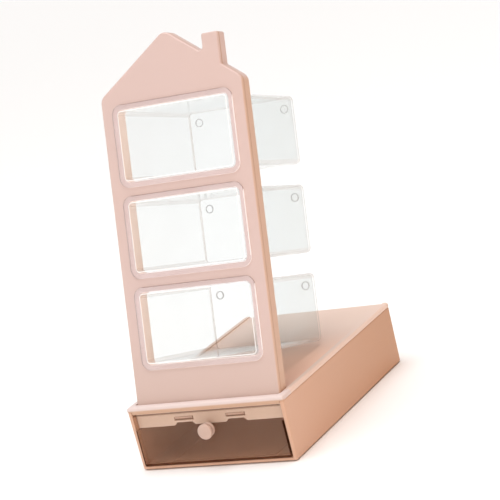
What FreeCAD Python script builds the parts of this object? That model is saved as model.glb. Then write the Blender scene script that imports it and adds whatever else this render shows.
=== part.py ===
import FreeCAD, Part
import math
import os

from FreeCAD import Placement, Rotation, Vector

# House-shaped desk organizer: a box base with a smoked clear drawer, and a leaning
# house-shaped board that carries three clear bins. Millimetres, +Z up, front towards -Y.
# The origin is on the desk, in the middle of the whole object's footprint.

# Base, measured above the soles of its feet
base_width = 150.6
base_depth = 234.0
foot_height = 1.0
shell_top = foot_height + 53.1
shell_wall = 2.6
shell_floor = 2.4
shell_flare = 0.9
shell_rear_radius = 4.0
shell_bottom_radius = 1.0
shell_inner_radius = 1.5
shell_inner_fillet = 1.5
shell_rim_fillet = 0.9
shell_front_fillet = 1.2
runner_x = 50.0
runner_width = 4.0
runner_height = 0.8
runner_front_gap = 4.0
runner_rear_gap = 10.0

# Snap joint between the deck and the sides of the base
snap_shares = (0.16, 0.5, 0.86)
snap_rib_top = 6.7
snap_rib_height = 1.4
snap_rib_length = 10.0
snap_rib_reach = 0.9
snap_tongue_length = 8.0
snap_tongue_thickness = 1.5
snap_tongue_gap = 1.1
snap_barb_reach = 0.9
snap_barb_height = 3.2

# Drawer front knob
knob_reach = 10.0
knob_height = foot_height + 33.7
knob_head_radius = 6.9
knob_rear_radius = 6.2
knob_neck_radius = 4.2

front_y = -(base_depth - knob_reach) / 2
rear_y = front_y + base_depth

# Deck that closes the base
deck_top = foot_height + 55.6
rim_crest = foot_height + 57.2
rim_overhang = 1.3
rim_inner_half = 71.2
rim_front_depth = 5.6
rim_crest_fillet = 2.2
rim_edge_fillet = 0.6
tray_corner = 3.0
tray_fillet = 0.9
deck_front_radius = 1.6
lip_half = 72.2
lip_thickness = 2.2
lip_bottom = foot_height + 50.6
apron_bottom = foot_height + 36.6
apron_back = 7.0
apron_thickness = 2.0
apron_half = 71.7
apron_notch_rise = 2.6
apron_notch_foot = 10.4
apron_notch_head = 7.6
rib_thickness = 1.6
long_rib_depth = 4.4
cross_rib_depth = 3.4
long_rib_places = (-42.0, 0.0, 42.0)
long_rib_front_gap = 28.0
long_rib_rear_gap = 8.0
cross_rib_shares = (0.3, 0.52, 0.74)
cross_rib_half = 66.0
rear_rib_half = 64.0
rear_rib_gap = 3.2
rear_rib_thickness = 2.0
rear_rib_depth = 5.0

# Hooks of the board, and the windows in the apron where they catch
hook_x = 25.3
hook_width = 16.8
hook_window_width = 19.0
hook_window_bottom = foot_height + 40.9
hook_window_top = foot_height + 44.4
hook_leg_front = 8.6
hook_leg_thickness = 2.4
hook_slot_back = 14.0
peg_x = 46.0
peg_back = 9.0
peg_width = 8.0
peg_thickness = 3.0
peg_length = 6.0

# Drawer
drawer_half = 72.1
drawer_plate_front = -1.0
drawer_plate_thickness = 2.4
drawer_bottom = foot_height + shell_floor + runner_height + 0.1
drawer_plate_top = foot_height + 50.0
drawer_wall_top = foot_height + 36.1
drawer_wall = 2.0
drawer_rear = base_depth - shell_wall - 0.3
drawer_rear_radius = 3.4
drawer_bottom_radius = 1.6

# Board, drawn flat: x across, y up the board from the height of board_datum, z towards the front
lean = 15.0
board_front_gap = 8.1
board_datum = foot_height + 55.9
board_width = 140.4
board_thickness = 12.8
cover_thickness = 3.0
board_wall = 2.0
board_sole = 6.0
eave_height = 265.6
apex_height = 314.8
apex_radius = 9.0
eave_radius = 9.0
chimney_left = 36.0
chimney_right = 52.0
chimney_top = 306.0
seam_groove = 0.5
cover_edge_fillet = 1.5
back_edge_fillet = 1.3

# Bins and the windows that they slide into
bin_width = 109.6
bin_height = 62.0
bin_wall = 1.5
bin_depth = 118.9
bin_draft = 0.7
bin_corner = 4.2
bin_first = 34.1
bin_pitch = 78.8
bin_names = ("bin_bottom", "bin_middle", "bin_top")
flange_width = 119.2
flange_height = 72.0
flange_radius = 9.0
flange_thickness = 1.7
window_gap = 0.4
ring_x = 44.0
ring_drop = 11.5
ring_radius = 3.9
ring_width = 0.8
ring_relief = 0.5

# Self-tapping screws
screw_shaft_radius = 1.25
screw_hole_radius = 1.3
screw_head_radius = 2.5
screw_head_height = 1.7
screw_length = 8.0
knob_screw_length = 8.0
knob_screw_hole_depth = 6.4
seat_depth = 2.4
post_radius = 3.6
post_split = 8.8
screw_places = (
    (-62.0, 18.0), (62.0, 18.0), (-62.0, 104.0), (62.0, 104.0),
    (-62.0, 183.0), (62.0, 183.0), (-50.0, 267.5), (50.0, 267.5),
)

# Feet
foot_radius = 6.0
foot_sink = 0.5
foot_inset_x = 13.0
foot_inset_y = 15.0
foot_names = (
    ("foot_pad_front_left", -1, 0), ("foot_pad_front_right", 1, 0),
    ("foot_pad_rear_left", -1, 1), ("foot_pad_rear_right", 1, 1),
)


def outline(corners, radii):
    """Return a closed flat wire through the corners, each rounded by its own radius."""
    points = [Vector(x, y, 0) for x, y in corners]
    if isinstance(radii, (int, float)):
        radii = [radii] * len(points)
    starts = []
    ends = []
    arcs = []
    for index, here in enumerate(points):
        to_before = points[index - 1] - here
        to_after = points[(index + 1) % len(points)] - here
        to_before.normalize()
        to_after.normalize()
        half_angle = to_before.getAngle(to_after) / 2
        reach = radii[index] / math.tan(half_angle)
        inwards = to_before + to_after
        inwards.normalize()
        sagitta = radii[index] / math.sin(half_angle) - radii[index]
        start = here + to_before * reach
        end = here + to_after * reach
        starts.append(start)
        ends.append(end)
        middle = here + inwards * sagitta
        arcs.append(Part.Arc(start, middle, end).toShape() if radii[index] else None)
    edges = []
    for index, arc in enumerate(arcs):
        line_end = starts[index]
        line_start = ends[index - 1]
        if (line_end - line_start).Length > 1e-6:
            edges.append(Part.LineSegment(line_start, line_end).toShape())
        if arc:
            edges.append(arc)
    return Part.Wire(edges)


def rectangle(left, right, low, high, radii=0.0):
    """Return a rounded rectangle; radii run from the low left corner anticlockwise."""
    return outline([(left, low), (right, low), (right, high), (left, high)], radii)


def prism(wire, low, high):
    """Return the solid between two heights that has the wire as its section."""
    solid = Part.Face(wire).extrude(Vector(0, 0, high - low))
    solid.translate(Vector(0, 0, low))
    return solid


def block(low_corner, high_corner):
    """Return a box between two corners."""
    low = Vector(*low_corner)
    high = Vector(*high_corner)
    size = high - low
    return Part.makeBox(size.x, size.y, size.z, low)


def rod(radius, start, end):
    """Return a cylinder between two points."""
    start = Vector(*start)
    along = Vector(*end) - start
    return Part.makeCylinder(radius, along.Length, start, along)


def turned(profile):
    """Return the solid made by turning a (radius, height) profile about the Z axis."""
    points = [Vector(radius, 0, height) for radius, height in profile]
    face = Part.Face(Part.makePolygon(points + points[:1]))
    return face.revolve(Vector(0, 0, 0), Vector(0, 0, 1), 360)


def fused(shapes):
    """Return the shapes joined into one solid."""
    return shapes[0].fuse(shapes[1:]).removeSplitter()


def edges_where(shape, test):
    """Return the shape's edges whose bounding boxes pass the test."""
    return [edge for edge in shape.Edges if test(edge.BoundBox)]


def level(low, high, height):
    """Say whether a span lies at one height."""
    return abs(low - height) < 0.01 and abs(high - height) < 0.01


def round_edges(shape, radius, test):
    """Fillet the edges that pass the test."""
    return shape.makeFillet(radius, edges_where(shape, test))


def on_board(shape):
    """Move a solid from the board's own flat frame to its place on the deck."""
    moved = shape.copy()
    tilt = Rotation(Vector(1, 0, 0), 90 - lean)
    moved.Placement = Placement(Vector(0, front_y + board_front_gap, board_datum), tilt)
    return moved


def make_base_shell():
    """Return the open-fronted box: floor, two sides and back, with runners and snap ribs."""
    half = base_width / 2
    wires = []
    for height, flare in ((foot_height, 0), (shell_top, shell_flare)):
        wire = rectangle(-half - flare, half + flare, front_y, rear_y,
                         [0, 0, shell_rear_radius, shell_rear_radius])
        wire.translate(Vector(0, 0, height))
        wires.append(wire)
    shell = Part.makeLoft(wires, True, True)
    shell = round_edges(shell, shell_front_fillet,
                        lambda b: b.YMax < front_y + 0.01 and b.ZLength > 20)
    shell = round_edges(shell, shell_bottom_radius,
                        lambda b: level(b.ZMin, b.ZMax, foot_height) and b.YMax > front_y + 2)
    inner_half = half - shell_wall
    floor_top = foot_height + shell_floor
    cavity = prism(rectangle(-inner_half, inner_half, front_y - 10, rear_y - shell_wall,
                             [0, 0, shell_inner_radius, shell_inner_radius]),
                   floor_top, shell_top + 10)
    cavity = round_edges(cavity, shell_inner_fillet,
                         lambda b: level(b.ZMin, b.ZMax, floor_top) and b.YMax > front_y)
    shell = shell.cut(cavity)
    shell = round_edges(shell, shell_rim_fillet,
                        lambda b: level(b.ZMin, b.ZMax, shell_top)
                        and (b.XMax > half or b.XMin < -half or b.YMax > rear_y - 0.01)
                        and b.YMax > front_y + 2)
    extras = []
    for side in (-1, 1):
        x = side * runner_x
        extras.append(block((x - runner_width / 2, front_y + runner_front_gap, floor_top - 0.2),
                            (x + runner_width / 2, rear_y - runner_rear_gap, floor_top + runner_height)))
        for y in snap_places():
            inner = side * (inner_half - snap_rib_reach)
            outer = side * (inner_half + 0.5)
            top = shell_top - snap_rib_top
            extras.append(block((min(inner, outer), y - snap_rib_length / 2, top - snap_rib_height),
                                (max(inner, outer), y + snap_rib_length / 2, top)))
    shell = fused([shell] + extras)
    for name, side, rear in foot_names:
        x, y = foot_place(side, rear)
        shell = shell.cut(rod(foot_radius + 0.1, (x, y, 0), (x, y, foot_height + foot_sink)))
    return shell


def snap_places():
    """Return the Y places of the three snap tongues on each side of the deck."""
    return [front_y + base_depth * share for share in snap_shares]


def foot_place(side, rear):
    """Return the X and Y of one foot."""
    x = side * (base_width / 2 - foot_inset_x)
    y = rear_y - foot_inset_y if rear else front_y + foot_inset_y
    return x, y


def make_foot(side, rear):
    """Return one round rubber foot, sunk a little into the floor."""
    x, y = foot_place(side, rear)
    pad = rod(foot_radius, (x, y, 0), (x, y, foot_height + foot_sink))
    return pad.makeChamfer(0.3, edges_where(pad, lambda b: level(b.ZMin, b.ZMax, 0)))


def make_deck():
    """Return the deck: tray with a raised rim on three sides, front lip, hook apron and snaps."""
    half = base_width / 2 + rim_overhang
    front = front_y - 0.5
    rear = rear_y
    deck = prism(rectangle(-half, half, front, rear,
                           [deck_front_radius, deck_front_radius, shell_rear_radius, shell_rear_radius]),
                 shell_top, rim_crest)
    deck = round_edges(deck, rim_crest_fillet, lambda b: level(b.ZMin, b.ZMax, rim_crest))
    deck = round_edges(deck, rim_edge_fillet, lambda b: level(b.ZMin, b.ZMax, shell_top))
    tray = prism(rectangle(-rim_inner_half, rim_inner_half, front_y + rim_front_depth, rear + 20,
                           [tray_corner, tray_corner, 0, 0]),
                 deck_top, rim_crest + 10)
    tray = round_edges(tray, tray_fillet, lambda b: level(b.ZMin, b.ZMax, deck_top) and b.YMin < rear)
    deck = deck.cut(tray)
    lip_front = front_y + 0.2
    lip = block((-lip_half, lip_front, lip_bottom), (lip_half, lip_front + lip_thickness, shell_top + 0.6))
    parts = [deck, lip, make_apron()]
    under = shell_top + 0.4
    half_rib = rib_thickness / 2
    for x in long_rib_places:
        parts.append(block((x - half_rib, front_y + long_rib_front_gap, under - long_rib_depth),
                           (x + half_rib, rear_y - long_rib_rear_gap, under)))
    for share in cross_rib_shares:
        y = front_y + base_depth * share
        parts.append(block((-cross_rib_half, y - half_rib, under - cross_rib_depth),
                           (cross_rib_half, y + half_rib, under)))
    for side in (-1, 1):
        for y in snap_places():
            parts.append(make_snap(side, y))
    rib_rear = rear_y - rear_rib_gap
    parts.append(block((-rear_rib_half, rib_rear - rear_rib_thickness, under - rear_rib_depth),
                       (rear_rib_half, rib_rear, under)))
    deck = fused(parts)
    for side in (-1, 1):
        x = side * hook_x
        reach = hook_width / 2 + 0.5
        deck = deck.cut(block((x - reach, front_y + apron_back + 0.1, shell_top - 1),
                              (x + reach, front_y + hook_slot_back, rim_crest)))
        x = side * peg_x
        reach = peg_width / 2 + 0.3
        y = front_y + board_front_gap + peg_back
        deck = deck.cut(block((x - reach, y - 0.3, shell_top - 6),
                              (x + reach, y + peg_thickness + 0.3, rim_crest)))
    return deck


def make_apron():
    """Return the wall behind the drawer front, with a window over a raised edge for each hook."""
    corners = [(-apron_half, apron_bottom)]
    raised = apron_bottom + apron_notch_rise
    for side in (-1, 1):
        x = side * hook_x
        corners += [(x - apron_notch_foot, apron_bottom), (x - apron_notch_head, raised),
                    (x + apron_notch_head, raised), (x + apron_notch_foot, apron_bottom)]
    corners += [(apron_half, apron_bottom), (apron_half, shell_top + 0.6), (-apron_half, shell_top + 0.6)]
    radii = [0.8] + [1.0] * 8 + [0.8, 0, 0]
    wall = prism(outline(corners, radii), 0, apron_thickness)
    for side in (-1, 1):
        x = side * hook_x
        reach = hook_window_width / 2
        wall = wall.cut(block((x - reach, hook_window_bottom, -1), (x + reach, hook_window_top, 10)))
    wall.rotate(Vector(0, 0, 0), Vector(1, 0, 0), 90)
    wall.translate(Vector(0, front_y + apron_back, 0))
    return wall


def make_snap(side, y):
    """Return one snap tongue that hangs from the deck and hooks under a rib of the shell."""
    inner_half = base_width / 2 - shell_wall
    face = inner_half - snap_tongue_gap
    back = face - snap_tongue_thickness
    barb = face + snap_barb_reach
    top = shell_top + 0.4
    catch = shell_top - snap_rib_top - snap_rib_height - 0.3
    tip = catch - snap_barb_height
    profile = [(back, top), (face, top), (face, catch), (barb, catch - 0.1), (face, tip), (back, tip)]
    points = [Vector(side * x, y - snap_tongue_length / 2, z) for x, z in profile]
    section = Part.Face(Part.makePolygon(points + points[:1]))
    return section.extrude(Vector(0, snap_tongue_length, 0))


def make_drawer():
    """Return the smoked drawer: a tall front plate and a shallower box behind it."""
    plate_front = front_y + drawer_plate_front
    plate_back = plate_front + drawer_plate_thickness
    rear = front_y + drawer_rear
    plate = prism(rectangle(-drawer_half, drawer_half, drawer_bottom, drawer_plate_top, 1.6),
                  0, drawer_plate_thickness)
    plate.rotate(Vector(0, 0, 0), Vector(1, 0, 0), 90)
    plate.translate(Vector(0, plate_back, 0))
    plate = round_edges(plate, 0.5, lambda b: level(b.YMin, b.YMax, plate_front))
    body = prism(rectangle(-drawer_half, drawer_half, plate_back - 0.5, rear,
                           [0, 0, drawer_rear_radius, drawer_rear_radius]),
                 drawer_bottom, drawer_wall_top)
    body = round_edges(body, drawer_bottom_radius,
                       lambda b: level(b.ZMin, b.ZMax, drawer_bottom) and b.YMax > plate_back + 1)
    hollow = prism(rectangle(drawer_wall - drawer_half, drawer_half - drawer_wall,
                             plate_back, rear - drawer_wall, [1.0, 1.0, 2.0, 2.0]),
                   drawer_bottom + drawer_wall, drawer_wall_top + 10)
    hollow = round_edges(hollow, 0.9, lambda b: level(b.ZMin, b.ZMax, drawer_bottom + drawer_wall))
    drawer = fused([plate, body.cut(hollow)])
    return drawer.cut(rod(screw_shaft_radius + 0.3, (0, plate_front - 5, knob_height),
                          (0, plate_back + 5, knob_height)))


def make_knob():
    """Return the mushroom knob, turned about its own axis and blind-drilled for its screw."""
    length = knob_reach + drawer_plate_front
    section = [(0, 0), (knob_rear_radius, 0), (knob_rear_radius, 2.1), (knob_neck_radius, 2.6),
               (knob_neck_radius, length - 3.6), (knob_head_radius, length - 3.2),
               (knob_head_radius, length - 0.7), (0, length)]
    radii = [0, 0.4, 0.8, 0.5, 0.5, 1.0, 1.7, 0]
    knob = Part.Face(outline(section, radii)).revolve(Vector(0, 0, 0), Vector(0, 1, 0), 360)
    knob.rotate(Vector(0, 0, 0), Vector(1, 0, 0), 90)
    knob = knob.cut(rod(screw_hole_radius, (0, 0, -1), (0, 0, knob_screw_hole_depth)))
    return facing_front(knob, front_y + drawer_plate_front)


def facing_front(shape, y):
    """Turn a solid drawn along +Z so that it stands out of the drawer front at y."""
    shape.rotate(Vector(0, 0, 0), Vector(1, 0, 0), 90)
    shape.translate(Vector(0, y, knob_height))
    return shape


def make_screw(length):
    """Return a pan-head screw: head above the plane z = 0, shaft below it, cross-recessed."""
    radius = screw_head_radius
    head = turned([(0, 0), (radius, 0), (radius, 0.7), (radius - 0.5, 1.3), (radius - 1.3, screw_head_height),
                   (0, screw_head_height)])
    shaft = turned([(0, 0.1), (screw_shaft_radius, 0.1), (screw_shaft_radius, 1.6 - length),
                    (0.4, -length), (0, -length)])
    screw = fused([head, shaft])
    for across, along in ((1.4, 0.35), (0.35, 1.4)):
        screw = screw.cut(block((-across, -along, screw_head_height - 0.9), (across, along, 5)))
    return screw


def make_knob_screw():
    """Return the screw that holds the knob from inside the drawer."""
    screw = make_screw(knob_screw_length)
    screw.rotate(Vector(0, 0, 0), Vector(1, 0, 0), -90)
    screw.translate(Vector(0, front_y + drawer_plate_front + drawer_plate_thickness, knob_height))
    return screw


def house_corners(inset=0.0):
    """Return the corners and radii of the house outline, drawn in by an inset."""
    half = board_width / 2
    pitch = math.atan2(apex_height - eave_height, half)
    eave = eave_height - inset * (1 - math.sin(pitch)) / math.cos(pitch)
    apex = apex_height - inset / math.cos(pitch)
    left = chimney_left + inset
    right = chimney_right - inset
    slope = math.tan(pitch)
    corners = [(inset - half, -20), (half - inset, -20), (half - inset, eave),
               (right, apex - right * slope), (right, chimney_top - inset),
               (left, chimney_top - inset), (left, apex - left * slope), (0, apex), (inset - half, eave)]
    eave_arc = eave_radius - inset
    radii = [0, 0, eave_arc, 2.0 + inset, max(2.0 - inset, 0.3), max(2.0 - inset, 0.3), 3.0 + inset,
             apex_radius - inset, eave_arc]
    return corners, radii


def bin_base(index):
    """Return how far up the board the outside of one bin's floor is."""
    return bin_first + bin_pitch * index


def bin_section(index, draft, inset):
    """Return a bin's rounded section, drawn in on every side by the draft and an inset."""
    half = bin_width / 2 - draft - inset
    low = bin_base(index) + draft + inset
    high = bin_base(index) + bin_height - draft - inset
    return rectangle(-half, half, low, high, bin_corner - inset)


def board_windows(grow, front, back):
    """Return the three window solids, grown on every side, between two depths behind the front."""
    return [prism(bin_section(index, 0, -grow), -back, -front) for index in range(len(bin_names))]


def cut_at_deck(shape):
    """Cut a placed board piece off flat where it stands on the deck."""
    return shape.cut(block((-200, -300, -200), (200, 300, deck_top)))


def make_house_cover():
    """Return the front cover of the board: windowed plate, screw bosses and the two hooks."""
    corners, radii = house_corners()
    cover = prism(outline(corners, radii), -cover_thickness, 0)
    cover = round_edges(cover, cover_edge_fillet, lambda b: level(b.ZMin, b.ZMax, 0) and b.YMax > 0)
    cover = round_edges(cover, seam_groove,
                        lambda b: level(b.ZMin, b.ZMax, -cover_thickness) and b.YMax > 0)
    for window in board_windows(window_gap, -10, 10):
        cover = cover.cut(window)
    bosses = [rod(post_radius - 0.4, (x, y, 0.5 - cover_thickness), (x, y, -post_split))
              for x, y in screw_places]
    cover = fused([cover] + bosses)
    for x, y in screw_places:
        cover = cover.cut(rod(screw_hole_radius, (x, y, -post_split - 1), (x, y, -1.4)))
    cover = cut_at_deck(on_board(cover))
    return fused([cover] + [make_hook(side) for side in (-1, 1)])


def make_hook(side):
    """Return one hook: a leg through the deck with a tongue forward into the apron's window."""
    leg_front = front_y + hook_leg_front
    leg_back = leg_front + hook_leg_thickness
    tongue_tip = front_y + apron_back - apron_thickness - 0.4
    tongue_top = hook_window_top - 0.2
    tongue_bottom = hook_window_bottom + 1.2
    profile = [(leg_front + 0.1, deck_top + 0.5), (leg_front + 0.1, tongue_top), (tongue_tip, tongue_top),
               (tongue_tip, tongue_bottom + 0.6), (tongue_tip + 0.8, tongue_bottom),
               (leg_back, tongue_bottom), (leg_back, deck_top + 0.5)]
    left = side * hook_x - hook_width / 2
    points = [Vector(left, y, z) for y, z in profile]
    return Part.Face(Part.makePolygon(points + points[:1])).extrude(Vector(hook_width, 0, 0))


def make_house_back():
    """Return the rear shell of the board: side wall, back plate, window frames and screw seats."""
    corners, radii = house_corners()
    back = prism(outline(corners, radii), -board_thickness, -cover_thickness)
    back = round_edges(back, back_edge_fillet,
                       lambda b: level(b.ZMin, b.ZMax, -board_thickness) and b.YMax > 0)
    back = round_edges(back, seam_groove,
                       lambda b: level(b.ZMin, b.ZMax, -cover_thickness) and b.YMax > 0)
    corners, radii = house_corners(board_wall)
    hollow = prism(outline(corners, radii), board_wall - board_thickness, 0)
    for frame in board_windows(window_gap + board_wall, 0, 30):
        hollow = hollow.cut(frame)
    for x, y in screw_places:
        hollow = hollow.cut(rod(post_radius, (x, y, -board_thickness), (x, y, -post_split)))
    hollow = hollow.cut(prism(rectangle(-80, 80, -30, board_sole, 0), -30, 0))
    back = back.cut(hollow)
    for window in board_windows(window_gap, -10, 30):
        back = back.cut(window)
    seat = seat_depth - board_thickness
    for x, y in screw_places:
        back = back.cut(rod(screw_head_radius + 0.3, (x, y, -board_thickness - 1), (x, y, seat)))
        back = back.cut(rod(screw_shaft_radius + 0.25, (x, y, -board_thickness - 1),
                            (x, y, 1 - post_split)))
    back = cut_at_deck(on_board(back))
    pegs = []
    for side in (-1, 1):
        x = side * peg_x
        y = front_y + board_front_gap + peg_back
        pegs.append(block((x - peg_width / 2, y, deck_top - peg_length),
                          (x + peg_width / 2, y + peg_thickness, deck_top + 1)))
    return fused([back] + pegs)


def make_house_screws():
    """Return the eight screws that close the board from behind, as separate solids."""
    seat = seat_depth - board_thickness
    screws = []
    for x, y in screw_places:
        screw = make_screw(screw_length)
        screw.rotate(Vector(0, 0, 0), Vector(1, 0, 0), 180)
        screw.translate(Vector(x, y, seat))
        screws.append(on_board(Part.Compound([screw])).Solids[0])
    return Part.makeCompound(screws)


def bin_taper(index, inset, front, back):
    """Return a bin's drafted solid between two depths, drawn in on every side by an inset."""
    wires = []
    for depth in (front, back):
        wire = bin_section(index, bin_draft * depth / bin_depth, inset)
        wire.translate(Vector(0, 0, -depth))
        wires.append(wire)
    return Part.makeLoft(wires, True, True)


def make_bin(index):
    """Return one clear bin: drafted box open to the front, a rounded flange and two ring marks."""
    body = bin_taper(index, 0, 0, bin_depth)
    body = round_edges(body, 2.4, lambda b: level(b.ZMin, b.ZMax, -bin_depth))
    low = bin_base(index) + bin_height / 2 - flange_height / 2
    flange = prism(rectangle(-flange_width / 2, flange_width / 2, low, low + flange_height, flange_radius),
                   0, flange_thickness)
    flange = round_edges(flange, 1.0, lambda b: level(b.ZMin, b.ZMax, flange_thickness))
    hollow = bin_taper(index, bin_wall, -flange_thickness - 1, bin_depth - bin_wall)
    hollow = round_edges(hollow, 1.2, lambda b: level(b.ZMin, b.ZMax, bin_wall - bin_depth))
    rings = []
    height = bin_base(index) + bin_height - ring_drop
    for side in (-1, 1):
        x = side * ring_x
        ring = rod(ring_radius, (x, height, -bin_depth - ring_relief), (x, height, 0.3 - bin_depth))
        rings.append(ring.cut(rod(ring_radius - ring_width, (x, height, -bin_depth - 2), (x, height, 0))))
    return on_board(fused([body, flange] + rings).cut(hollow))


def make_nodes():
    """Return every sub-part by its node name."""
    nodes = {
        "base_shell": make_base_shell(),
        "top_deck": make_deck(),
        "drawer_box": make_drawer(),
        "drawer_knob": make_knob(),
        "drawer_knob_screw": make_knob_screw(),
        "house_front_cover": make_house_cover(),
        "house_back_shell": make_house_back(),
        "house_screws": make_house_screws(),
    }
    for index, name in enumerate(bin_names):
        nodes[name] = make_bin(index)
    for name, side, rear in foot_names:
        nodes[name] = make_foot(side, rear)
    return nodes


os.makedirs("parts", exist_ok=True)
for node, shape in make_nodes().items():
    if not shape.isValid():
        print("not valid:", node)
    shape.exportStep("parts/" + node + ".step")
    box = shape.BoundBox
    print(f"{node}: {len(shape.Solids)} solid(s), {shape.Volume / 1000:.1f} cm3,",
          f"x {box.XMin:.1f}..{box.XMax:.1f},", f"y {box.YMin:.1f}..{box.YMax:.1f},",
          f"z {box.ZMin:.1f}..{box.ZMax:.1f}")
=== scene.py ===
"""Looks of a house-shaped desk organizer.

A box base with a smoked drawer carries a leaning house board with three clear bins. The
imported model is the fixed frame. Every length is in metres, +Z is up, and the drawer and
the bins open towards -Y.
"""

import logging
import math
from dataclasses import dataclass
from enum import Enum
from typing import Iterable, Union

import bmesh
import bpy
from mathutils import Matrix, Vector


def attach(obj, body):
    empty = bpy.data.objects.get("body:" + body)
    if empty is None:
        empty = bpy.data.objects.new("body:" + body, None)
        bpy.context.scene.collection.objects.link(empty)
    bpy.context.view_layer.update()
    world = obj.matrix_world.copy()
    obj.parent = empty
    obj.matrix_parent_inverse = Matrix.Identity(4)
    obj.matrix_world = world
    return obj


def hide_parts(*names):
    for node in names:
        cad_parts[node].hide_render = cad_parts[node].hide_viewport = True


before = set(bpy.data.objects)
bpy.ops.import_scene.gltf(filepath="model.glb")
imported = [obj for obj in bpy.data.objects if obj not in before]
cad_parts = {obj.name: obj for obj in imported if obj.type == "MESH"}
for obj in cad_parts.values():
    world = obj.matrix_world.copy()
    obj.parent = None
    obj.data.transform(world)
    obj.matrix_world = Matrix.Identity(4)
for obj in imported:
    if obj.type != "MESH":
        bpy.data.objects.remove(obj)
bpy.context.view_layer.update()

SHARP_ANGLE = math.radians(40.0)
NOISE_MIDDLE = 0.5
log = logging.getLogger("organizer")

Triple = tuple[float, float, float]
Colour = Triple
Operand = Union["Flow", float, int]


class Operation(Enum):
    """The Math node operations that the expressions use."""

    ADD = "ADD"
    SUBTRACT = "SUBTRACT"
    MULTIPLY = "MULTIPLY"
    POWER = "POWER"
    MINIMUM = "MINIMUM"
    MAXIMUM = "MAXIMUM"
    ABSOLUTE = "ABSOLUTE"


class Flow:
    """A shader value whose Python arithmetic adds Math nodes to its graph."""

    def __init__(self, graph: "Graph", socket: bpy.types.NodeSocket) -> None:
        """Wraps the output socket of a node in the graph that new nodes go into."""
        self.graph = graph
        self.socket = socket

    def _apply(self, operation: Operation, first: Operand, second: Operand = 0.0) -> "Flow":
        """Returns the result of a new Math node on one or two values."""
        return self.graph.node("ShaderNodeMath", {"operation": operation.value}, {0: first, 1: second})

    def __add__(self, other: Operand) -> "Flow":
        """Returns self + other."""
        return self._apply(Operation.ADD, self, other)

    def __radd__(self, other: Operand) -> "Flow":
        """Returns other + self."""
        return self._apply(Operation.ADD, other, self)

    def __sub__(self, other: Operand) -> "Flow":
        """Returns self - other."""
        return self._apply(Operation.SUBTRACT, self, other)

    def __rsub__(self, other: Operand) -> "Flow":
        """Returns other - self."""
        return self._apply(Operation.SUBTRACT, other, self)

    def __mul__(self, other: Operand) -> "Flow":
        """Returns self * other."""
        return self._apply(Operation.MULTIPLY, self, other)

    def __rmul__(self, other: Operand) -> "Flow":
        """Returns other * self."""
        return self._apply(Operation.MULTIPLY, other, self)

    def __pow__(self, other: Operand) -> "Flow":
        """Returns self ** other."""
        return self._apply(Operation.POWER, self, other)

    def __abs__(self) -> "Flow":
        """Returns self without its sign."""
        return self._apply(Operation.ABSOLUTE, self)

    def limited(self) -> "Flow":
        """Returns the value held between 0 and 1."""
        return self._apply(Operation.MINIMUM, self._apply(Operation.MAXIMUM, self, 0.0), 1.0)

    def past(self, place: float, over: float = 0.00025) -> "Flow":
        """Returns 0 before a place and 1 past it, with a blend over a short length between."""
        return ((self - place) * (1.0 / over)).limited()


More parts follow.
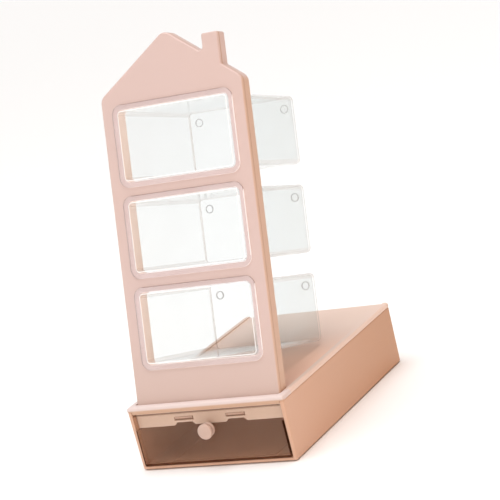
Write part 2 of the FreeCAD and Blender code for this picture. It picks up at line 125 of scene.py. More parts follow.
class Graph:
    """The node tree of one material, or of the sky.

    The MIX_ numbers are the sockets of a Mix node that mixes colours.
    """

    MIX_SHARE = 0
    MIX_FIRST = 6
    MIX_SECOND = 7
    MIX_RESULT = 2

    def __init__(self, owner: bpy.types.Material | bpy.types.World) -> None:
        """Empties the owner's tree.

        Args:
            owner: The material or world whose tree this is.
        """
        self.owner = owner
        owner.use_nodes = True
        self.tree = owner.node_tree
        self.tree.nodes.clear()

    @classmethod
    def of_material(cls, name: str) -> "Graph":
        """Returns the empty tree of a new material."""
        return cls(bpy.data.materials.new(name))

    def node(self, kind: str, settings: dict | None = None, inputs: dict | None = None,
             output: int | str = 0) -> Flow:
        """Adds one node.

        Args:
            kind: The node's type.
            settings: Properties that are set first, by name.
            inputs: Values or flows for its input sockets, by index or name.
            output: Which output socket to return.

        Returns:
            The chosen output.
        """
        made = self.tree.nodes.new(kind)
        for key, value in (settings or {}).items():
            if key == "stops":
                self._set_stops(made.color_ramp, value)
            else:
                setattr(made, key, value)
        for key, value in (inputs or {}).items():
            if isinstance(value, Flow):
                self.tree.links.new(value.socket, made.inputs[key])
            else:
                made.inputs[key].default_value = value
        return Flow(self, made.outputs[output] if made.outputs else None)

    @staticmethod
    def _set_stops(ramp: bpy.types.ColorRamp, stops: Iterable[tuple[float, Colour]]) -> None:
        """Sets a ramp's stops.

        Args:
            ramp: The ramp, which has as many stops already.
            stops: The place and colour of each stop.
        """
        for element, (place, colour) in zip(ramp.elements, stops):
            element.position = place
            element.color = (*colour, 1.0)

    @staticmethod
    def _solid(colour: Colour | Flow) -> tuple | Flow:
        """Returns a plain colour with an alpha of 1, and a flow as it is."""
        return colour if isinstance(colour, Flow) else (*colour, 1.0)

    def place(self, scale: Triple = (1.0, 1.0, 1.0), turn: Triple = (0.0, 0.0, 0.0)) -> Flow:
        """Returns the piece's own coordinates, stretched by scale and turned in radians."""
        own = self.node("ShaderNodeTexCoord", output="Object")
        return self.node("ShaderNodeMapping", {}, {"Vector": own, "Scale": scale, "Rotation": turn})

    def noise(self, place: Flow, scale: float, detail: float = 3.0, rough: float = 0.5) -> Flow:
        """Returns a noise value from 0 to 1 with so many bumps a metre."""
        return self.node("ShaderNodeTexNoise", {"noise_dimensions": "3D"},
                         {"Vector": place, "Scale": scale, "Detail": detail, "Roughness": rough})

    def parts(self, vector: Flow, axes: str = "XYZ") -> tuple[Flow, ...]:
        """Returns the named parts of a vector."""
        return tuple(self.node("ShaderNodeSeparateXYZ", {}, {0: vector}, output=axis) for axis in axes)

    def ramp(self, value: Flow, *stops: tuple[float, Colour]) -> Flow:
        """Returns the value passed through two colour stops."""
        return self.node("ShaderNodeValToRGB", {"stops": stops}, {"Fac": value})

    def blend(self, share: Operand, first: Colour | Flow, second: Colour | Flow) -> Flow:
        """Mixes two colours.

        Args:
            share: How much there is of the second colour, from 0 to 1.
            first: The colour at 0.
            second: The colour at 1.

        Returns:
            The mixed colour.
        """
        inputs = {
            self.MIX_SHARE: share,
            self.MIX_FIRST: self._solid(first),
            self.MIX_SECOND: self._solid(second),
        }
        return self.node("ShaderNodeMix", {"data_type": "RGBA"}, inputs, output=self.MIX_RESULT)

    def bump(self, height: Flow, strength: float, distance: float) -> Flow:
        """Returns a normal bent by the height."""
        inputs = {"Height": height, "Strength": strength, "Distance": distance}
        return self.node("ShaderNodeBump", {}, inputs)

    def gloss(self, inputs: dict) -> Flow:
        """Returns the common surface shader with values or flows for its sockets, by name."""
        return self.node("ShaderNodeBsdfPrincipled", {}, inputs)

    def clear(self, colour: Colour) -> Flow:
        """Returns a shader that light passes through in the colour."""
        return self.node("ShaderNodeBsdfTransparent", {}, {"Color": self._solid(colour)})

    def mix(self, share: Operand, first: Flow, second: Flow) -> Flow:
        """Returns a shader between first and second."""
        return self.node("ShaderNodeMixShader", {}, {0: share, 1: first, 2: second})

    def glance(self, power: float = 5.0, rise: float = 0.8, least: float = 0.03) -> Flow:
        """Returns how much a polished surface reflects, from face on to edge on."""
        facing = self.node("ShaderNodeLayerWeight", {}, {"Blend": 0.5}, output="Facing")
        return facing ** power * rise + least

    def show(self, surface: Flow) -> bpy.types.Material:
        """Links the surface shader to the output and returns the material."""
        self.node("ShaderNodeOutputMaterial", {}, {"Surface": surface})
        return self.owner


@dataclass(frozen=True)
class Lean:
    """How the board's flat frame stands on the deck."""

    degrees: float = 15.0
    foot_y: float = -0.1039
    foot_z: float = 0.0569

    @property
    def angle(self) -> float:
        """Returns the lean in radians."""
        return math.radians(self.degrees)

    def matrix(self, up_board: float) -> Matrix:
        """Works out the turn and move that put a flat drawing on the board.

        Args:
            up_board: How far up the board its origin goes.

        Returns:
            The matrix into the row frame.
        """
        upright = Matrix.Rotation(math.pi / 2 - self.angle, 4, "X")
        foot = Matrix.Translation((0.0, self.foot_y, self.foot_z))
        return foot @ upright @ Matrix.Translation((0.0, up_board, 0.0))


@dataclass(frozen=True)
class Windows:
    """The three windows of the board, which the bins fill."""

    width: float = 0.1096
    height: float = 0.062
    first: float = 0.0341
    pitch: float = 0.0788
    count: int = 3

    def middles(self) -> list[float]:
        """Returns each window's middle, measured up the board."""
        return [self.first + self.pitch * index + self.height / 2 for index in range(self.count)]


@dataclass(frozen=True)
class PinkPlastic:
    """Satin moulded plastic with faint clouds, fine grain and soft smears."""

    name: str
    colour: Colour
    warm: Colour
    dull: Colour = (0.62, 0.42, 0.35)
    dull_share: float = 0.22
    roughness: float = 0.40
    smear_rough: float = 0.12
    grain_rough: float = 0.06
    shine: float = 0.42
    cloud_scale: float = 9.0
    cloud_contrast: float = 1.6
    cloud_start: float = 0.3
    smear_scale: Triple = (30.0, 9.0, 12.0)
    smear_turn: Triple = (0.2, 0.1, 0.4)
    grain_scale: float = 1500.0
    peel_scale: float = 260.0
    peel_share: float = 0.8
    relief: float = 0.22
    relief_depth: float = 0.00009

    def make(self) -> bpy.types.Material:
        """Makes the finish.

        Returns:
            The material.
        """
        graph = Graph.of_material(self.name)
        place = graph.place()
        clouds = graph.noise(place, self.cloud_scale, detail=2.0)
        smears = graph.noise(graph.place(self.smear_scale, self.smear_turn), scale=1.0, detail=4.0)
        grain = graph.noise(place, self.grain_scale, detail=2.0, rough=0.6)
        peel = graph.noise(place, self.peel_scale, detail=1.0)
        worn = (grain - NOISE_MIDDLE).limited() * self.dull_share
        smeared = self.roughness + (smears - NOISE_MIDDLE) * self.smear_rough
        return graph.show(graph.gloss({
            "Base Color": graph.blend(worn, self.tone(graph, clouds), self.dull),
            "Roughness": smeared + (grain - NOISE_MIDDLE) * self.grain_rough,
            "Normal": graph.bump(grain + peel * self.peel_share, self.relief, self.relief_depth),
            "Specular IOR Level": self.shine,
            **self.light(graph),
        }))

    def tone(self, graph: Graph, clouds: Flow) -> Flow:
        """Returns the plastic's colour with its faint clouds."""
        share = (clouds * self.cloud_contrast - self.cloud_start).limited()
        return graph.blend(share, self.colour, self.warm)

    def light(self, graph: Graph) -> dict:
        """Returns the inputs of a glow of painted light, which plain plastic hasn't."""
        return {}


@dataclass(frozen=True)
class BasePlastic(PinkPlastic):
    """The base's plastic, with painted shade that deepens it towards the rear."""

    # rear: the colour of the painted shade at the base's rear end.
    rear: Colour = (0.56, 0.305, 0.175)
    rear_shade_start_y: float = -0.10
    length: float = 0.20

    def tone(self, graph: Graph, clouds: Flow) -> Flow:
        """Returns the plastic's colour, deepened towards the rear by painted shade."""
        (back,) = graph.parts(graph.place(), "Y")
        return graph.blend(back.past(self.rear_shade_start_y, self.length), super().tone(graph, clouds), self.rear)


@dataclass(frozen=True)
class DeckPlastic(PinkPlastic):
    """The deck's plastic, with painted light and shade: a painted highlight on top of the front rail,
    painted light on the strip below it, painted shade low on its front, and a warm painted reflection of
    the board with painted shade of the bins on the tray.
    """

    # near: a warm painted reflection of the board, with painted shade of the bins, on the tray next to the
    # board.
    near: Colour = (0.79, 0.485, 0.365)
    reflection_shade_y: float = -0.06
    reflection_shade_length: float = 0.13
    tray_half: float = 0.0700
    tray_blend: float = 0.001
    # glow: the colour of the painted light on the tray under the bins.
    glow: Colour = (0.085, 0.04, 0.018)
    painted_light_y: tuple[float, float] = (-0.08, -0.01)
    painted_light_blend: float = 0.06
    # Painted highlight: a pale, cool tone on the top of the front rail.
    crown_highlight: Colour = (0.725, 0.61, 0.585)
    crown_y: float = -0.098
    crown_length: float = 0.003
    crown_z: float = 0.0545
    crown_blend: float = 0.0012
    # Painted light: a lighter tone on the strip hanging below the front rail, which lies in shade behind
    # the smoked plate.
    apron_light: Colour = (0.79, 0.69, 0.63)
    # Painted shade: a deeper orange low on the front of the rail.
    lip_shade: Colour = (0.62, 0.41, 0.29)
    lip_y: float = -0.1104
    lip_z: float = 0.0518

    def tone(self, graph: Graph, clouds: Flow) -> Flow:
        """Tones the tray and paints a highlight on top of the front rail, light on the strip below it and
        shade low on its front.

        Args:
            graph: The material's node tree.
            clouds: The plastic's faint clouds.

        Returns:
            The plastic's colour.
        """
        across, back, up = graph.parts(graph.place())
        front = 1.0 - back.past(self.crown_y, self.crown_length)
        tray = (1.0 - front) * self.in_tray(across)
        # Painted reflection and shade: the tray warms and deepens towards the board.
        warm = tray * (1.0 - back.past(self.reflection_shade_y, self.reflection_shade_length))
        deck = graph.blend(warm, super().tone(graph, clouds), self.near)
        # Paints the highlight on the front rail.
        with_highlight = graph.blend(front, deck, self.crown_highlight)
        # Paints light on the hanging strip.
        hung = graph.blend(front * (1.0 - up.past(self.lip_z)), with_highlight, self.apron_light)
        # Paints shade low on the front of the rail.
        lip_shade = (1.0 - back.past(self.lip_y)) * (1.0 - up.past(self.crown_z, self.crown_blend))
        return graph.blend(lip_shade, hung, self.lip_shade)

    def light(self, graph: Graph) -> dict:
        """Paints light on the tray under the bins as a glow, standing in for the light they pass down to
        it.

        Args:
            graph: The material's node tree.

        Returns:
            The inputs of the glow.
        """
        across, back = graph.parts(graph.place(), "XY")
        start, end = self.painted_light_y
        band = back.past(start, self.painted_light_blend) * (1.0 - back.past(end, self.painted_light_blend))
        under = band * self.in_tray(across)
        return {"Emission Color": graph.blend(under, (0.0, 0.0, 0.0), self.glow), "Emission Strength": 1.0}

    def in_tray(self, across: Flow) -> Flow:
        """Returns 1 between the deck's side rims."""
        return 1.0 - abs(across).past(self.tray_half, self.tray_blend)


@dataclass(frozen=True)
class BoardPlastic(PinkPlastic):
    """The board's plastic: painted shade on the foot and the sides, a dark seam, and painted light on the
    frames inside the windows.
    """

    # foot: painted shade, darker and warmer, on the lowest part of the board's front.
    foot: Colour = (0.605, 0.462, 0.412)
    foot_shade_height: float = 0.07
    # side: painted shade, warm as if lit from the right, on the board's sides.
    side: Colour = (0.64, 0.43, 0.31)
    shaded_side_x: float = 0.0690
    shaded_side_blend: float = 0.0014
    seam: Colour = (0.55, 0.36, 0.26)
    seam_depth: float = 0.0030
    seam_half: float = 0.0005
    seam_blend: float = 0.0004
    # Painted light on the frames inside the windows: a lighter colour and a glow.
    painted_window_light: Colour = (0.98, 0.78, 0.69)
    glow: float = 0.22
    clearance: float = 0.0008

    def tone(self, graph: Graph, clouds: Flow) -> Flow:
        """Tones the front, paints shade on its foot and on the sides, darkens the seam and paints light on
        the window frames.

        Args:
            graph: The material's node tree.
            clouds: The plastic's faint clouds.

        Returns:
            The plastic's colour.
        """
        (across,) = graph.parts(graph.place(), "X")
        behind, up_board = self.board_place(graph)
        front = graph.blend(up_board.past(0.0, self.foot_shade_height), self.foot, super().tone(graph, clouds))
        # Paints the warm shade on the sides.
        outside = graph.blend(abs(across).past(self.shaded_side_x, self.shaded_side_blend), front, self.side)
        near_seam = 1.0 - abs(behind - self.seam_depth).past(self.seam_half, self.seam_blend)
        seamed = graph.blend(near_seam, outside, self.seam)
        # Paints light on the window frames.
        return graph.blend(self.in_window(graph), seamed, self.painted_window_light)

    def light(self, graph: Graph) -> dict:
        """Returns the glow of painted light on the frames inside the windows, standing in for light the
        clear bins let in.
        """
        painted_window_light = graph.blend(self.in_window(graph), (0.0, 0.0, 0.0), self.painted_window_light)
        return {"Emission Color": painted_window_light, "Emission Strength": self.glow}

    def board_place(self, graph: Graph) -> tuple[Flow, Flow]:
        """Measures along the leaning board.

        Args:
            graph: The material's node tree.

        Returns:
            The distance behind the board's front, and the distance up the board.
        """
        lean = Lean()
        back, up = graph.parts(graph.place(), "YZ")
        sine, cosine = math.sin(lean.angle), math.cos(lean.angle)
        behind = (back - lean.foot_y) * cosine - (up - lean.foot_z) * sine
        return behind, (back - lean.foot_y) * sine + (up - lean.foot_z) * cosine

    def in_window(self, graph: Graph) -> Flow:
        """Finds the frames inside the windows.

        Args:
            graph: The material's node tree.

        Returns:
            A value of 1 on the frames.
        """
        windows = Windows()
        (across,) = graph.parts(graph.place(), "X")
        behind, up_board = self.board_place(graph)
        rows = [self.within(up_board - middle, windows.height) for middle in windows.middles()]
        return self.within(across, windows.width) * sum(rows[1:], rows[0]) * behind.past(self.clearance)

    def within(self, offset: Flow, size: float) -> Flow:
        """Returns 1 where the offset from a window's middle is inside its size."""
        return 1.0 - abs(offset).past(size / 2 + self.clearance)


@dataclass(frozen=True)
class ClearPlastic:
    """Clear polished plastic in a thin wall, faintly wavy from the mould."""

    name: str = "clear_plastic"
    tint: Colour = (0.954, 0.971, 0.975)
    film: Colour = (0.90, 0.93, 0.935)
    haze: float = 0.04
    # glow: painted light, a glow in the film's colour, which the flange has.
    glow: float = 0.0
    ior: float = 1.5
    cloud_scale: float = 24.0
    rough_start: float = 0.42
    rough_rise: float = 0.22
    rough_least: float = 0.04
    wave_scale: Triple = (14.0, 34.0, 34.0)
    wave: float = 0.05
    wave_depth: float = 0.001

    def make(self) -> bpy.types.Material:
        """Returns the material."""
        graph = Graph.of_material(self.name)
        return graph.show(self.surface(graph))

    def surface(self, graph: Graph) -> Flow:
        """Adds the thin wall: mostly clear, with a glossy film that is strongest edge on.

        Args:
            graph: The material's node tree.

        Returns:
            The wall's shader.
        """
        cloud = graph.noise(graph.place(), self.cloud_scale, detail=4.0, rough=0.6)
        waves = graph.noise(graph.place(self.wave_scale), scale=1.0, detail=2.0)
        film = graph.gloss({
            "Base Color": (*self.film, 1.0),
            "Roughness": (cloud - self.rough_start).limited() * self.rough_rise + self.rough_least,
            "Normal": graph.bump(waves, self.wave, self.wave_depth),
            "IOR": self.ior,
            "Emission Color": (*self.film, 1.0),
            "Emission Strength": self.glow,
        })
        share = graph.glance() + cloud * self.haze
        return graph.mix(share.limited(), graph.clear(self.tint), film)


@dataclass(frozen=True)
class SmokedPlastic(ClearPlastic):
    """Clear plastic smoked brown, deeper where a wall is seen end on and along its top."""

    name: str = "smoked_plastic"
    tint: Colour = (0.977, 0.950, 0.922)
    film: Colour = (0.76, 0.49, 0.36)
    haze: float = 0.11
    cloud_scale: float = 20.0
    rough_start: float = 0.4
    rough_rise: float = 0.2
    rough_least: float = 0.05
    wave_scale: Triple = (12.0, 30.0, 30.0)
    deep: Colour = (0.48, 0.38, 0.33)
    wall_x: float = 0.0708
    wall_top: float = 0.0371
    floor_top: float = 0.0062
    plate_back: float = -0.1115
    plate_top: float = 0.0510
    walls_front: float = -0.1078
    rim: float = 0.0011
    rim_depth: float = 0.55

    def surface(self, graph: Graph) -> Flow:
        """Returns the shader of a thin wall with its deeper places."""
        return graph.mix(self.deeper(graph), super().surface(graph), graph.clear(self.deep))

    def deeper(self, graph: Graph) -> Flow:
        """Finds where the drawer looks deeper.

        Args:
            graph: The material's node tree.

        Returns:
            A value of 1 where the plate covers the end of a wall or the floor, less along
            the tops, and 0 elsewhere.
        """
        across, along, up = graph.parts(graph.place())
        side = abs(across).past(self.wall_x) * (1.0 - up.past(self.wall_top))
        sole = 1.0 - up.past(self.floor_top)
        end_on = (side + sole).limited() * (1.0 - along.past(self.plate_back))
        wall_rim = along.past(self.walls_front) * up.past(self.wall_top - self.rim)
        plate_rim = up.past(self.plate_top - self.rim)
        return end_on + (wall_rim + plate_rim).limited() * self.rim_depth


@dataclass(frozen=True)
class BrightEdge:
    """Edge of clear plastic, partly opaque in its own colour, with a glow of painted light; it carries
    painted highlights and painted shade as well as plain edges.
    """

    name: str
    share: float
    # glow: painted light, which the bead's highlight has.
    glow: float = 0.2
    colour: Colour = (0.95, 0.945, 0.945)
    tint: Colour = (0.98, 0.98, 0.98)
    ior: float = 1.5
    cloud_scale: float = 90.0
    rough_rise: float = 0.2
    rough_least: float = 0.1

    def make(self) -> bpy.types.Material:
        """Makes the finish.

        Returns:
            The material.
        """
        graph = Graph.of_material(self.name)
        cloud = graph.noise(graph.place(), self.cloud_scale, detail=2.0)
        body = graph.gloss({
            "Base Color": (*self.colour, 1.0),
            "Roughness": cloud * self.rough_rise + self.rough_least,
            "IOR": self.ior,
            "Emission Color": (*self.colour, 1.0),
            "Emission Strength": self.glow,
        })
        return graph.show(graph.mix(self.share, graph.clear(self.tint), body))


@dataclass(frozen=True)
class ScrewSteel:
    """Zinc-plated steel with fine turning marks."""

    name: str = "screw_steel"
    colour: Colour = (0.60, 0.60, 0.61)
    bloom: Colour = (0.47, 0.47, 0.48)
    bloom_scale: float = 420.0
    roughness: float = 0.26
    bloom_rough: float = 0.2
    mark_scale: Triple = (900.0, 5200.0, 900.0)
    relief: float = 0.2
    relief_depth: float = 0.00004

    def make(self) -> bpy.types.Material:
        """Makes the finish.

        Returns:
            The material.
        """
        graph = Graph.of_material(self.name)
        marks = graph.noise(graph.place(self.mark_scale), scale=1.0)
        bloom = graph.noise(graph.place(), self.bloom_scale)
        return graph.show(graph.gloss({
            "Base Color": graph.blend(bloom, self.colour, self.bloom),
            "Roughness": self.roughness + bloom * self.bloom_rough,
            "Metallic": 1.0,
            "Normal": graph.bump(marks, self.relief, self.relief_depth),
        }))


@dataclass(frozen=True)
class FootRubber:
    """Soft milky foot pad."""

    name: str = "foot_rubber"
    colour: Colour = (0.66, 0.60, 0.56)
    dust: Colour = (0.55, 0.49, 0.45)
    dust_scale: float = 700.0
    roughness: float = 0.6
    dust_rough: float = 0.25
    relief: float = 0.3
    relief_depth: float = 0.0001

    def make(self) -> bpy.types.Material:
        """Makes the finish.

        Returns:
            The material.
        """
        graph = Graph.of_material(self.name)
        dust = graph.noise(graph.place(), self.dust_scale, detail=4.0)
        return graph.show(graph.gloss({
            "Base Color": graph.blend(dust, self.colour, self.dust),
            "Roughness": self.roughness + dust * self.dust_rough,
            "Normal": graph.bump(dust, self.relief, self.relief_depth),
        }))


@dataclass(frozen=True)
class StageWhite:
    """Plain pale floor."""

    name: str = "pale_floor"
    colour: Colour = (0.97, 0.97, 0.97)
    roughness: float = 0.8
    shine: float = 0.1

    def make(self) -> bpy.types.Material:
        """Makes the finish.

        Returns:
            The material.
        """
        graph = Graph.of_material(self.name)
        return graph.show(graph.gloss({
            "Base Color": (*self.colour, 1.0),
            "Roughness": self.roughness,
            "Specular IOR Level": self.shine,
        }))


def dress(nodes: Iterable[str], material: bpy.types.Material) -> None:
    """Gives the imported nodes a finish.

    Args:
        nodes: The nodes' names.
        material: What their surfaces are made of.
    """
    for name in nodes:
        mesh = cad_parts[name].data
        mesh.materials.clear()
        mesh.materials.append(material)
        log.info("%s is dressed in %s", name, material.name)


@dataclass
class DeskBase:
    """The box base with its deck and feet."""

    shell: BasePlastic = BasePlastic(name="peach_plastic", colour=(0.66, 0.42, 0.30),
                                     warm=(0.67, 0.41, 0.285))
    deck: DeckPlastic = DeckPlastic(name="deck_plastic", colour=(0.80, 0.62, 0.54),
                                    warm=(0.81, 0.61, 0.515))
    feet: tuple[str, ...] = ("foot_pad_front_left", "foot_pad_front_right", "foot_pad_rear_left",
                             "foot_pad_rear_right")

    def build(self) -> None:
        """Dresses the base's pieces."""
        dress(("base_shell",), self.shell.make())
        dress(("top_deck",), self.deck.make())
        dress(self.feet, FootRubber().make())


@dataclass
class HouseBoard:
    """The leaning board in its two halves, with the screws behind."""

    halves: tuple[str, ...] = ("house_front_cover", "house_back_shell")
    rose: BoardPlastic = BoardPlastic(name="rose_plastic", colour=(0.655, 0.51, 0.48),
                                      warm=(0.67, 0.505, 0.46))

    def build(self, steel: bpy.types.Material) -> None:
        """Dresses the board's pieces, the screws in steel."""
        dress(self.halves, self.rose.make())
        dress(("house_screws",), steel)


@dataclass
class SmokedDrawer:
    """The smoked drawer and its knob."""

    knob: PinkPlastic = PinkPlastic(name="knob_plastic", colour=(0.57, 0.42, 0.355),
                                    warm=(0.58, 0.41, 0.34))

    def build(self, steel: bpy.types.Material) -> None:
        """Dresses the drawer's pieces.

        Args:
            steel: What the knob's screw is made of.
        """
        dress(("drawer_box",), SmokedPlastic().make())
        dress(("drawer_knob",), self.knob.make())
        dress(("drawer_knob_screw",), steel)


class Finish(Enum):
    """The material slots of a clear bin."""

    WALL = 0
    # BRIGHT and SHADE carry painted highlight and painted shade.
    BRIGHT = 1
    EDGE = 2
    SHADE = 3
    FLANGE = 4
    RING = 5


def settle(shape: bmesh.types.BMesh, name: str, finishes: list[bpy.types.Material]) -> bpy.types.Object:
    """Turns a finished mesh into a piece of the scene.

    Args:
        shape: The mesh, in the row frame.
        name: The piece's name.
        finishes: Its materials, in slot order.

    Returns:
        The piece.
    """
    mesh = bpy.data.meshes.new(name)
    shape.to_mesh(mesh)
    shape.free()
    for material in finishes:
        mesh.materials.append(material)
    for polygon in mesh.polygons:
        polygon.use_smooth = True
    mesh.set_sharp_from_angle(angle=SHARP_ANGLE)
    piece = bpy.data.objects.new(name, mesh)
    bpy.context.scene.collection.objects.link(piece)
    log.info("%s has %d faces", name, len(mesh.polygons))
    return piece


def round_edges(shape: bmesh.types.BMesh, edges: Iterable[bmesh.types.BMEdge], radius: float,
                segments: int) -> list[bmesh.types.BMFace]:
    """Rounds edges off.

    Args:
        shape: The mesh.
        edges: The edges to round.
        radius: How far from each edge the rounding starts.
        segments: How many faces the rounding has across it.

    Returns:
        The faces of the rounding.
    """
    made = bmesh.ops.bevel(shape, geom=list(edges), offset=radius, segments=segments, profile=0.5,
                           affect="EDGES", material=-1)
    return made["faces"]


def inset(shape: bmesh.types.BMesh, face: bmesh.types.BMFace, width: float, rise: float = 0.0,
          alone: bool = False) -> list[bmesh.types.BMFace]:
    """Shrinks a face and frames it with a band.

    Args:
        shape: The mesh.
        face: The face to shrink.
        width: The band's width.
        rise: How far the face is lifted.
        alone: Whether the face has no neighbours.

    Returns:
        The faces of the band.
    """
    made = bmesh.ops.inset_region(shape, faces=[face], thickness=width, depth=rise, use_even_offset=True,
                                  use_boundary=alone)
    return made["faces"]


def paint(faces: Iterable[bmesh.types.BMFace], finish: Finish) -> None:
    """Puts faces in a material slot."""
    for face in faces:
        face.material_index = finish.value


@dataclass
class ClearBin:
    """One clear bin: a drafted box behind a flange, with a white bead round its mouth that carries a
    painted highlight.

    It is drawn flat about the middle of its mouth, x across and y up the board, with z = 0
    on the board's front, and then leaned onto the deck.
    """

    node: str
    body: str
    up_board: float
    width: float = Windows.width
    height: float = Windows.height
    depth: float = 0.1189
    wall: float = 0.0015
    draft: float = 0.0007
    flange: float = 0.0048
    flange_corner: float = 0.009
    flange_front: float = 0.00145
    flange_gap: float = 0.0002
    flange_bevel: float = 0.0009
    bead: float = 0.0004
    bead_rise: float = 0.00015
    rear_outside: float = 0.0014
    rear_inside: float = 0.0007
    ring_x: float = 0.044
    ring_drop: float = 0.0115
    ring_radius: float = 0.0039
    ring_width: float = 0.0008
    ring_relief: float = 0.0005
    ring_root: float = 0.0004
    narrow_side: float = 0.002
    shade_lean: float = 0.1
    corner_segments: int = 8
    bevel_segments: int = 3
    ring_segments: int = 28
    level_within: float = 0.00001
    height_digits: int = 6

    def build(self, finishes: list[bpy.types.Material]) -> None:
        """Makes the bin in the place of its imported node.

        Args:
            finishes: Its materials, in slot order.
        """
        shape = bmesh.new()
        front, back = self.add_flange(shape)
        self.add_outside(shape, back)
        self.add_mouth(shape, front)
        self.round_rear(shape)
        for side in (-1, 1):
            self.add_ring(shape, side)
        bmesh.ops.recalc_face_normals(shape, faces=shape.faces)
        bmesh.ops.transform(shape, matrix=Lean().matrix(self.up_board), verts=shape.verts)
        piece = settle(shape, self.node + "_clear", finishes)
        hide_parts(self.node)
        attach(piece, self.body)

    def add_flange(self, shape: bmesh.types.BMesh) -> tuple[bmesh.types.BMFace, bmesh.types.BMFace]:
        """Adds the round-cornered flange plate.

        Args:
            shape: The mesh.

        Returns:
            The plate's front and back face.
        """
        thickness = self.flange_front - self.flange_gap
        size = Vector((self.width + 2 * self.flange, self.height + 2 * self.flange, thickness))
        centre = Vector((0.0, 0.0, self.flange_gap + thickness / 2))
        bmesh.ops.create_cube(shape, size=1.0, matrix=Matrix.LocRotScale(centre, None, size))
        corners = [edge for edge in shape.edges
                   if abs(edge.verts[0].co.z - edge.verts[1].co.z) > thickness / 2]
        round_edges(shape, corners, self.flange_corner, self.corner_segments)
        bmesh.ops.recalc_face_normals(shape, faces=shape.faces)
        by_height = sorted(shape.faces, key=lambda face: face.calc_center_median().z)
        front, back = by_height[-1], by_height[0]
        for face in by_height[1:-1]:
            # Painted shade on the flange's sides that face left or up, and painted highlight on those that
            # face right or down.
            shaded = face.normal.x < -self.shade_lean or face.normal.y > self.shade_lean
            paint([face], Finish.SHADE if shaded else Finish.BRIGHT)
        paint([front, back], Finish.FLANGE)
        round_edges(shape, front.edges, self.flange_bevel, self.bevel_segments)
        return max(shape.faces, key=self.forward), back

    def forward(self, face: bmesh.types.BMFace) -> tuple[float, float]:
        """Returns how far forward a face lies and, among level faces, how large it is."""
        return round(face.calc_center_median().z, self.height_digits), face.calc_area()

    def add_outside(self, shape: bmesh.types.BMesh, back: bmesh.types.BMFace) -> None:
        """Draws the bin's outside backwards out of the flange."""
        inset(shape, back, self.flange)
        self.draw_out(shape, back, -self.depth - self.flange_gap, Finish.EDGE)

    def add_mouth(self, shape: bmesh.types.BMesh, front: bmesh.types.BMFace) -> None:
        """Adds the bead round the mouth and hollows the bin out of it.

        Args:
            shape: The mesh.
            front: The flange's front face.
        """
        inset(shape, front, self.flange + self.wall - self.bead - 2 * self.bead_rise - self.flange_bevel)
        rises = ((self.bead_rise, self.bead_rise), (self.bead, 0.0), (self.bead_rise, -self.bead_rise))
        for width, rise in rises:
            # The bead is white like a wall seen end on, with a painted highlight glow.
            paint(inset(shape, front, width, rise), Finish.BRIGHT)
        self.draw_out(shape, front, self.wall - self.flange_front - self.depth, Finish.WALL)

    def draw_out(self, shape: bmesh.types.BMesh, face: bmesh.types.BMFace, reach: float,
                 corners: Finish) -> None:
        """Draws a face out along z with the bin's draft.

        Args:
            shape: The mesh.
            face: The face to draw out.
            reach: How far it goes, negative backwards.
            corners: The finish of the narrow faces round the corners.
        """
        walls = list(bmesh.ops.extrude_face_region(shape, geom=[face])["geom"])
        ends = [item for item in walls if isinstance(item, bmesh.types.BMVert)]
        narrow = 1.0 - 2 * self.draft / self.width
        low = 1.0 - 2 * self.draft / self.height
        bmesh.ops.scale(shape, vec=(narrow, low, 1.0), verts=ends)
        bmesh.ops.translate(shape, vec=(0.0, 0.0, reach), verts=ends)
        if face.is_valid:
            bmesh.ops.delete(shape, geom=[face], context="FACES_ONLY")
        for side in {near for end in ends for near in end.link_faces}:
            is_corner = side.calc_area() < self.narrow_side * abs(reach)
            paint([side], corners if is_corner else Finish.WALL)

    def round_rear(self, shape: bmesh.types.BMesh) -> None:
        """Rounds the edges of the bin's rear wall, outside and inside.

        Args:
            shape: The mesh.
        """
        for place, radius in ((-self.depth, self.rear_outside), (self.wall - self.depth, self.rear_inside)):
            edges = [edge for edge in shape.edges
                     if all(abs(vert.co.z - place) < self.level_within for vert in edge.verts)]
            paint(round_edges(shape, edges, radius, self.bevel_segments), Finish.EDGE)

    def add_ring(self, shape: bmesh.types.BMesh, side: int) -> None:
        """Adds one raised ring to the outside of the rear wall.

        Args:
            shape: The mesh.
            side: -1 for the ring on the left and 1 for the one on the right.
        """
        up = self.height / 2 - self.ring_drop
        centre = Vector((side * self.ring_x, up, -self.depth - self.ring_relief))
        made = bmesh.ops.create_circle(shape, cap_ends=True, segments=self.ring_segments,
                                       radius=self.ring_radius, matrix=Matrix.Translation(centre))
        disc = made["verts"][0].link_faces[0]
        band = inset(shape, disc, self.ring_width, alone=True)
        bmesh.ops.delete(shape, geom=[disc], context="FACES_ONLY")
        raised = bmesh.ops.extrude_face_region(shape, geom=band, use_keep_orig=True)
        tops = [item for item in raised["geom"] if isinstance(item, bmesh.types.BMVert)]
        bmesh.ops.translate(shape, vec=(0.0, 0.0, self.ring_relief + self.ring_root), verts=tops)
        paint({near for vert in tops for near in vert.link_faces} | set(band), Finish.RING)


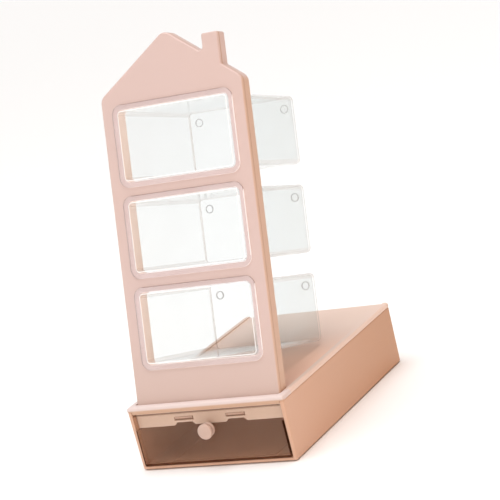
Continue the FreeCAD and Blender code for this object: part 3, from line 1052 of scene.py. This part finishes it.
@dataclass
class ClearBins:
    """The three clear bins, one above the other."""

    names: tuple[str, ...] = ("bottom", "middle", "top")

    def finishes(self) -> list[bpy.types.Material]:
        """Makes the finishes of a bin.

        Returns:
            The materials, in slot order.
        """
        looks = {
            Finish.WALL: ClearPlastic(),
            # Painted highlight on the bead and on the flange's lower and right sides.
            Finish.BRIGHT: BrightEdge(name="highlight_bead", share=0.75),
            Finish.EDGE: BrightEdge(name="clear_edge", share=0.3, glow=0.0, colour=(0.74, 0.72, 0.70)),
            # Painted shade on the flange's upper and left sides.
            Finish.SHADE: BrightEdge(name="shaded_edge", share=0.85, glow=0.0, colour=(0.30, 0.20, 0.17)),
            # The flange glows with painted light.
            Finish.FLANGE: ClearPlastic(name="flange_plastic", tint=(0.985, 0.98, 0.985),
                                        film=(0.95, 0.93, 0.96), haze=0.16, glow=0.2),
            Finish.RING: BrightEdge(name="ring_edge", share=0.6, glow=0.0, colour=(0.80, 0.80, 0.81)),
        }
        return [looks[finish].make() for finish in Finish]

    def build(self) -> None:
        """Makes the bins."""
        finishes = self.finishes()
        for name, middle in zip(self.names, Windows().middles()):
            ClearBin(node="bin_" + name, body=name + "_bin", up_board=middle).build(finishes)


@dataclass(frozen=True)
class SoftLight:
    """One soft square light that faces a point, with its power in watts."""

    name: str
    place: Triple
    target: Triple
    side: float
    power: float
    colour: Colour

    def make(self) -> None:
        """Hangs the light."""
        lamp = bpy.data.lights.new(self.name, "AREA")
        lamp.size = self.side
        lamp.energy = self.power
        lamp.color = self.colour
        made = bpy.data.objects.new(self.name, lamp)
        away = Vector(self.place) - Vector(self.target)
        turn = away.to_track_quat("Z", "Y").to_matrix().to_4x4()
        made.matrix_world = Matrix.Translation(self.place) @ turn
        bpy.context.scene.collection.objects.link(made)


@dataclass
class Studio:
    """Pale floor, soft lights and the camera."""

    floor_reach: float = 6.0
    lens: float = 140.40
    sensor: float = 36.0
    clip: tuple[float, float] = (0.05, 30.0)
    camera_place: Triple = (0.84264, -1.44108, 0.53172)
    camera_right: Triple = (0.86796, 0.43444, -0.24064)
    camera_up: Triple = (0.10756, 0.30860, 0.94509)
    camera_back: Triple = (0.48484, -0.84619, 0.22112)
    sky: float = 0.40
    horizon: float = 0.1
    horizon_fade: float = 3.0
    sky_white: Colour = (1.0, 0.99, 0.985)
    sky_warm: Colour = (0.96, 0.64, 0.42)
    sky_turn: tuple[float, float] = (0.1, 0.8)
    noon: float = 1.95
    noon_colour: Colour = (0.97, 0.99, 1.0)
    noon_spread: float = 1.0
    lights: tuple[SoftLight, ...] = (
        SoftLight(name="key_light", place=(-0.7, -1.5, 1.2), target=(0.0, 0.0, 0.15),
                  side=1.4, power=1.3, colour=(1.0, 0.98, 0.97)),
        SoftLight(name="low_front_light", place=(0.25, -1.7, 0.3), target=(0.0, 0.0, 0.03),
                  side=0.7, power=3.1, colour=(1.0, 0.95, 0.90)),
        SoftLight(name="top_light", place=(-0.2, -0.3, 1.9), target=(0.0, 0.0, 0.1),
                  side=1.0, power=7.0, colour=(1.0, 0.99, 0.98)),
        SoftLight(name="warm_fill", place=(0.9, -0.8, 0.45), target=(0.0, -0.1, 0.1),
                  side=0.6, power=1.9, colour=(1.0, 0.56, 0.34)),
    )

    def build(self) -> None:
        """Makes the floor, the sky, the lights and the camera."""
        self.make_floor()
        self.make_sky()
        self.make_noon()
        for light in self.lights:
            light.make()
        self.make_camera()

    def make_floor(self) -> None:
        """Makes the plain floor."""
        shape = bmesh.new()
        bmesh.ops.create_grid(shape, x_segments=1, y_segments=1, size=self.floor_reach)
        settle(shape, "floor", [StageWhite().make()])

    def make_sky(self) -> None:
        """Makes a soft sky, warm on the right and white along the horizon."""
        world = bpy.data.worlds.new("surround")
        bpy.context.scene.world = world
        graph = Graph(world)
        right, up = graph.parts(graph.node("ShaderNodeTexCoord", output="Generated"), "XZ")
        start, end = self.sky_turn
        colour = graph.ramp(right, (start, self.sky_white), (end, self.sky_warm))
        white, dim = (1.0, 1.0, 1.0), (self.sky, self.sky, self.sky)
        strength = graph.ramp(up, (self.horizon, white), (self.horizon_fade * self.horizon, dim))
        glow = graph.node("ShaderNodeBackground", {}, {"Color": colour, "Strength": strength})
        graph.node("ShaderNodeOutputWorld", {}, {"Surface": glow})

    def make_noon(self) -> None:
        """Makes a soft light from straight above, which whitens the floor."""
        lamp = bpy.data.lights.new("noon_light", "SUN")
        lamp.energy = self.noon
        lamp.color = self.noon_colour
        lamp.angle = self.noon_spread
        bpy.context.scene.collection.objects.link(bpy.data.objects.new("noon_light", lamp))

    def make_camera(self) -> None:
        """Makes the camera at the photograph's angle."""
        data = bpy.data.cameras.new("camera")
        data.lens = self.lens
        data.sensor_width = self.sensor
        data.clip_start, data.clip_end = self.clip
        camera = bpy.data.objects.new("camera", data)
        axes = (self.camera_right, self.camera_up, self.camera_back)
        turn = Matrix(axes).transposed().to_4x4()
        camera.matrix_world = Matrix.Translation(self.camera_place) @ turn
        bpy.context.scene.collection.objects.link(camera)
        bpy.context.scene.camera = camera


def main() -> None:
    """Builds every sub-assembly in order."""
    logging.basicConfig(level=logging.INFO, format="%(message)s")
    bpy.context.scene.view_settings.view_transform = "Standard"
    steel = ScrewSteel().make()
    DeskBase().build()
    HouseBoard().build(steel)
    SmokedDrawer().build(steel)
    ClearBins().build()
    Studio().build()


if __name__ == "__main__":
    main()
